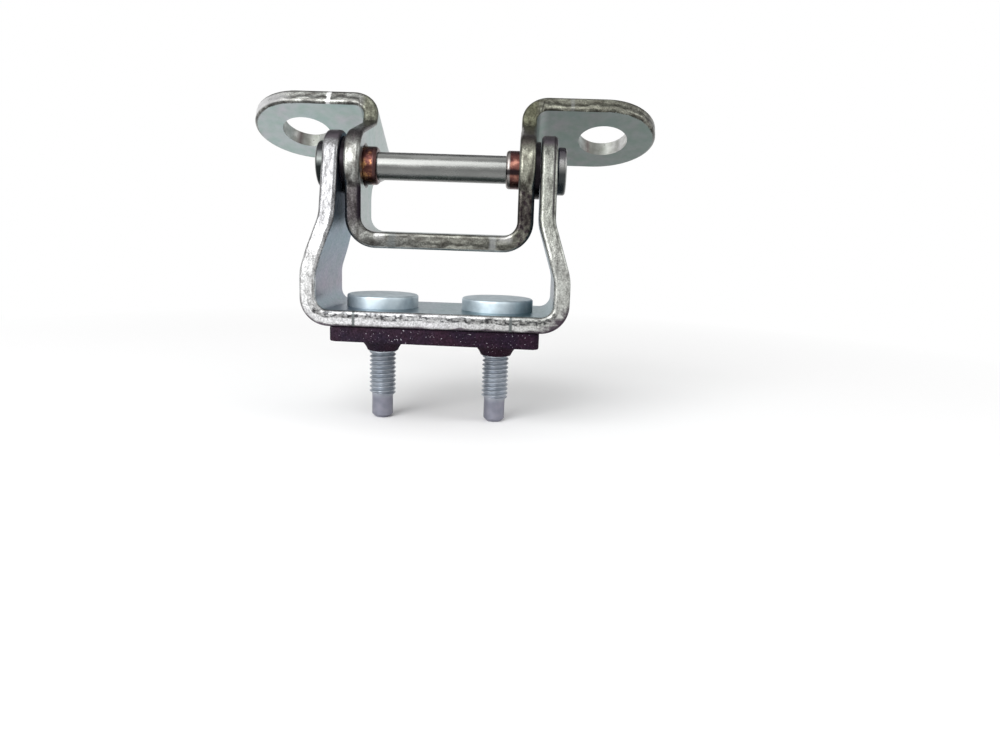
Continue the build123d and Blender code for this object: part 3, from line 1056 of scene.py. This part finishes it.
def stud_finish():
    finish, place, along = placed_finish("stud_zinc")
    shade = ramp(finish, noise(finish, place, size_mm=2.0, detail=4.0), STUD_SHADE)
    height = spread(finish, along["Z"], 0.0, 1.0, floor_z, stud_high.z)
    colour = multiply(finish, ramp(finish, height, STUD_TINTS), shade)
    grain = noise(finish, place, size_mm=0.25, detail=3.0)
    satin = spread(finish, height, 0.0, 0.12, start=0.86, end=0.91)
    roughness = maths(finish, "ADD", spread(finish, grain, low=0.32, high=0.46), satin)
    bare_metal(finish, colour, roughness)
    shader_of(finish).inputs["Metallic"].default_value = STUD_METALLIC
    bump(finish, grain, depth_mm=0.01, strength=0.5)
    return finish


stud_zinc = stud_finish()
print("finish:", stud_zinc.name)

# %% Turn one stud and copy it
SMOOTH_ANGLE = math.radians(35)

stud = turned("stud", stud_stations(), STUD_SEGMENTS)
cut_thread(stud)
select_only(stud)
bpy.ops.object.shade_smooth_by_angle(angle=SMOOTH_ANGLE)
stud.data.materials.append(stud_zinc)
for node_name, offset in (("stud_left", -stud_x), ("stud_right", stud_x)):
    threaded = copy_along_x(stud, f"threaded_{node_name}", offset)
    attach(threaded, "body_side")
    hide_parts(node_name)
    print(threaded.name, len(threaded.data.polygons), "faces")
bpy.data.objects.remove(stud)

# %% [markdown]
# ## The foam gasket
# Closed-cell foam has no sharp edge, and its collars flow into the pad. A box and two flared rings are
# joined, then a voxel remesh melts them into one skin, which a little smoothing rounds off. Sculpting
# would do as well, but this way the pad keeps its size to a few hundredths of a millimetre.

# %% Gasket sizes
PAD_THICKNESS = 3.4 * MM
PAD_CORNER = 1.6 * MM
PAD_SAG = 0.15 * MM
COLLAR_TIP_RADIUS = 3.45 * MM
COLLAR_ROOT_RADIUS = 6.4 * MM
COLLAR_FLARE = 1.7
COLLAR_SEGMENTS = 64
COLLAR_STEPS = 10
FOAM_VOXEL = 0.28 * MM
STUD_HOLE_RADIUS = NECK_RADIUS + 0.1 * MM
pad_bottom_z = gasket_high.z - PAD_THICKNESS
pad_middle_z = gasket_high.z - PAD_THICKNESS / 2


def collar_stations():
    """A flare: narrow at its tip, and ever wider towards the pad."""
    height = pad_bottom_z - gasket_low.z
    stations = []
    for step in range(COLLAR_STEPS + 1):
        share = step / COLLAR_STEPS
        radius = COLLAR_TIP_RADIUS + (COLLAR_ROOT_RADIUS - COLLAR_TIP_RADIUS) * share**COLLAR_FLARE
        stations.append((radius, gasket_low.z + height * share))
    stations.append((COLLAR_ROOT_RADIUS, pad_middle_z))
    return stations


print(f"{len(collar_stations())} rings on a collar")


# %% Shape the pad
def apply_modifier(piece, kind, **settings):
    select_only(piece)
    modifier = piece.modifiers.new(kind.lower(), kind)
    for key, value in settings.items():
        setattr(modifier, key, value)
    bpy.ops.object.modifier_apply(modifier=modifier.name)


bpy.ops.object.select_all(action="DESELECT")
bpy.ops.mesh.primitive_cube_add(size=1, location=(0, 0, pad_middle_z))
gasket = bpy.context.object
gasket.name = "foam_gasket"
gasket.scale = (gasket_high.x - gasket_low.x, gasket_high.y - gasket_low.y, PAD_THICKNESS)
bpy.ops.object.transform_apply(location=True, rotation=True, scale=True)
bpy.ops.object.mode_set(mode="EDIT")
bpy.ops.mesh.select_all(action="DESELECT")
bpy.ops.object.mode_set(mode="OBJECT")
for edge in gasket.data.edges:
    first, second = [gasket.data.vertices[index].co for index in edge.vertices]
    edge.select = abs(first.z - second.z) > PAD_THICKNESS / 2
bpy.ops.object.mode_set(mode="EDIT")
bpy.ops.mesh.select_mode(type="EDGE")
bpy.ops.mesh.bevel(offset=PAD_CORNER, segments=6, affect="EDGES")
bpy.ops.object.mode_set(mode="OBJECT")
print("pad:", len(gasket.data.polygons), "faces")

# %% Add the collars and drill the holes
hole_stations = [(STUD_HOLE_RADIUS, gasket_low.z - MM), (STUD_HOLE_RADIUS, gasket_high.z + MM)]
flare = turned("flare", collar_stations(), COLLAR_SEGMENTS)
drill = turned("drill", hole_stations, COLLAR_SEGMENTS)
for tool, operation in ((flare, "UNION"), (drill, "DIFFERENCE")):
    for offset in (-stud_x, stud_x):
        placed = copy_along_x(tool, "placed_tool", offset)
        apply_modifier(gasket, "BOOLEAN", object=placed, operation=operation, solver="EXACT")
        bpy.data.objects.remove(placed)
    bpy.data.objects.remove(tool)
print("pad and collars:", len(gasket.data.polygons), "faces")

# %% Melt it into one soft skin
apply_modifier(gasket, "REMESH", mode="VOXEL", voxel_size=FOAM_VOXEL, use_smooth_shade=True)
apply_modifier(gasket, "SMOOTH", factor=0.5, iterations=3)
for vertex in gasket.data.vertices:
    if vertex.co.z < pad_middle_z:
        vertex.co.z -= PAD_SAG * vertex.co.x / gasket_high.x
print("foam skin:", len(gasket.data.polygons), "faces")

# %% [markdown]
# ## Foam
# The pad is a purple-black foam with dusty speckles, and painted shade darkens it to the right. Fine noise
# gives the skin its pits, a slow one warms the colour here and there, and the brightest points of a very
# fine noise become the dust.

# %% Foam finish
FOAM_TINTS = [(0.38, (0.023, 0.016, 0.030)), (0.62, (0.036, 0.019, 0.032))]
FOAM_PITS = greys((0.35, 0.4), (0.65, 1.0))
# Painted shade towards the right, away from the lamps at the left.
FOAM_SIDE_SHADE = [(0.1, (1.0, 1.0, 1.0)), (0.8, (0.76, 0.55, 0.67))]
FOAM_DUST = (0.36, 0.34, 0.38)
FOAM_ROUGHNESS = 0.95
FOAM_SPECULAR = 0.12


def foam_finish():
    finish, place, along = placed_finish("foam")
    pits = noise(finish, place, size_mm=0.40, detail=4.0)
    colour = ramp(finish, noise(finish, place, size_mm=5.0, detail=3.0), FOAM_TINTS)
    colour = multiply(finish, colour, ramp(finish, pits, FOAM_PITS))
    side = spread(finish, along["X"], 0.0, 1.0, gasket_low.x, gasket_high.x)
    colour = multiply(finish, colour, ramp(finish, side, FOAM_SIDE_SHADE))
    dust = noise(finish, place, size_mm=0.27, detail=0.0)
    colour = mixed(finish, spread(finish, dust, 0.0, 1.0, start=0.79, end=0.84), colour, FOAM_DUST)
    shader = shader_of(finish)
    join(finish, colour, shader.inputs["Base Color"])
    shader.inputs["Roughness"].default_value = FOAM_ROUGHNESS
    shader.inputs["Specular IOR Level"].default_value = FOAM_SPECULAR
    bump(finish, pits, depth_mm=0.15, strength=0.8)
    return finish


gasket.data.materials.append(foam_finish())
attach(gasket, "body_side")
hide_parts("gasket")
print("gasket dressed")

# %% [markdown]
# ## Floor, white surroundings and soft light
# Bright metal shows what stands round it, so the room matters as much as the lamps. The floor and the world
# are white to the camera and in reflections. Near the hinge the floor stays plain and keeps its shadow.
# One large soft lamp hangs in front and above, a second at the left, and a weak one at the right.

# %% Floor
FLOOR_SIZE = 6.0
FLOOR_WHITE = (0.93, 0.93, 0.93, 1.0)
FLOOR_ROUGHNESS = 0.9
SHADOW_NEAR = 0.05
SHADOW_FAR = 0.24

bpy.ops.object.select_all(action="DESELECT")
bpy.ops.mesh.primitive_plane_add(size=FLOOR_SIZE, location=(0, 0, floor_z))
floor = bpy.context.object
floor.name = "floor"
bpy.ops.object.transform_apply(location=True, rotation=True, scale=True)
print("floor at", floor_z)


# %% Floor finish
def seen_directly(tree):
    """One for rays that show the surface itself: from the camera, in a reflection or through glass."""
    path = tree.nodes.new("ShaderNodeLightPath")
    seen = path.outputs["Is Camera Ray"]
    for ray in ("Is Glossy Ray", "Is Transmission Ray"):
        either = tree.nodes.new("ShaderNodeMath")
        either.operation = "MAXIMUM"
        tree.links.new(seen, either.inputs[0])
        tree.links.new(path.outputs[ray], either.inputs[1])
        seen = either.outputs[0]
    return seen


def floor_finish():
    finish = new_finish("floor_white")
    tree = finish.node_tree
    shader = shader_of(finish)
    shader.inputs["Base Color"].default_value = FLOOR_WHITE
    shader.inputs["Roughness"].default_value = FLOOR_ROUGHNESS
    distance = add_node(finish, "ShaderNodeVectorMath", operation="LENGTH")
    join(finish, object_place(finish), distance.inputs[0])
    far = spread(finish, distance.outputs["Value"], 0.0, 1.0, SHADOW_NEAR, SHADOW_FAR)
    white = add_node(finish, "ShaderNodeEmission")
    white.inputs["Strength"].default_value = 1.0
    both = add_node(finish, "ShaderNodeMixShader")
    join(finish, product(finish, far, seen_directly(tree)), both.inputs["Fac"])
    join(finish, shader.outputs["BSDF"], both.inputs[1])
    join(finish, white.outputs["Emission"], both.inputs[2])
    join(finish, both.outputs["Shader"], tree.nodes["Material Output"].inputs["Surface"])
    return finish


floor.data.materials.append(floor_finish())
print("floor plain within", SHADOW_NEAR, "and white past", SHADOW_FAR)

# %% World
AMBIENT = 0.6
world = bpy.data.worlds.new("studio")
bpy.context.scene.world = world
world.use_nodes = True
world_tree = world.node_tree
background = world_tree.nodes["Background"]
background.inputs["Color"].default_value = (1.0, 1.0, 1.0, 1.0)
strength = world_tree.nodes.new("ShaderNodeMapRange")
strength.inputs["To Min"].default_value = AMBIENT
strength.inputs["To Max"].default_value = 1.0
world_tree.links.new(seen_directly(world_tree), strength.inputs["Value"])
world_tree.links.new(strength.outputs["Result"], background.inputs["Strength"])
print("world ambient", AMBIENT)

# %% Lamps
HINGE_MIDDLE = Vector((0, 5, 30)) * MM


def soft_lamp(name, place_mm, width_mm, height_mm, watts):
    data = bpy.data.lights.new(name, "AREA")
    data.shape = "RECTANGLE"
    data.size = width_mm * MM
    data.size_y = height_mm * MM
    data.energy = watts
    lamp = bpy.data.objects.new(name, data)
    lamp.location = Vector(place_mm) * MM
    lamp.rotation_euler = (HINGE_MIDDLE - lamp.location).to_track_quat("-Z", "Y").to_euler()
    bpy.context.scene.collection.objects.link(lamp)


soft_lamp("front_lamp", (-190, -360, 330), width_mm=420, height_mm=420, watts=2.2)
soft_lamp("key_lamp", (-270, -480, 165), width_mm=300, height_mm=330, watts=1.05)
soft_lamp("right_lamp", (420, -60, 260), width_mm=220, height_mm=260, watts=0.35)
print("three soft lamps")

# %% [markdown]
# ## A grey flag
# Polished metal in an all-white room looks like paper. Photographers hang a flag where the metal should
# go dark. This one hangs above and behind the hinge, and only reflections see it. It is grey and not
# black, so that the rounded edges turn darker without a drawn outline.

# %% Flag
FLAG_PLACE = (0, 0.50, 0.45)
FLAG_SIZE = (1.2, 0.72, 1)
FLAG_GREY = (0.26, 0.26, 0.27, 1.0)

bpy.ops.object.select_all(action="DESELECT")
bpy.ops.mesh.primitive_plane_add(size=1, location=FLAG_PLACE)
flag = bpy.context.object
flag.name = "flag"
flag.scale = FLAG_SIZE
bpy.ops.object.transform_apply(location=True, rotation=True, scale=True)
flag_grey = new_finish("flag_grey")
shader_of(flag_grey).inputs["Base Color"].default_value = FLAG_GREY
shader_of(flag_grey).inputs["Roughness"].default_value = 1.0
flag.data.materials.append(flag_grey)
flag.visible_camera = False
flag.visible_diffuse = False
flag.visible_shadow = False
print("flag at", FLAG_PLACE)
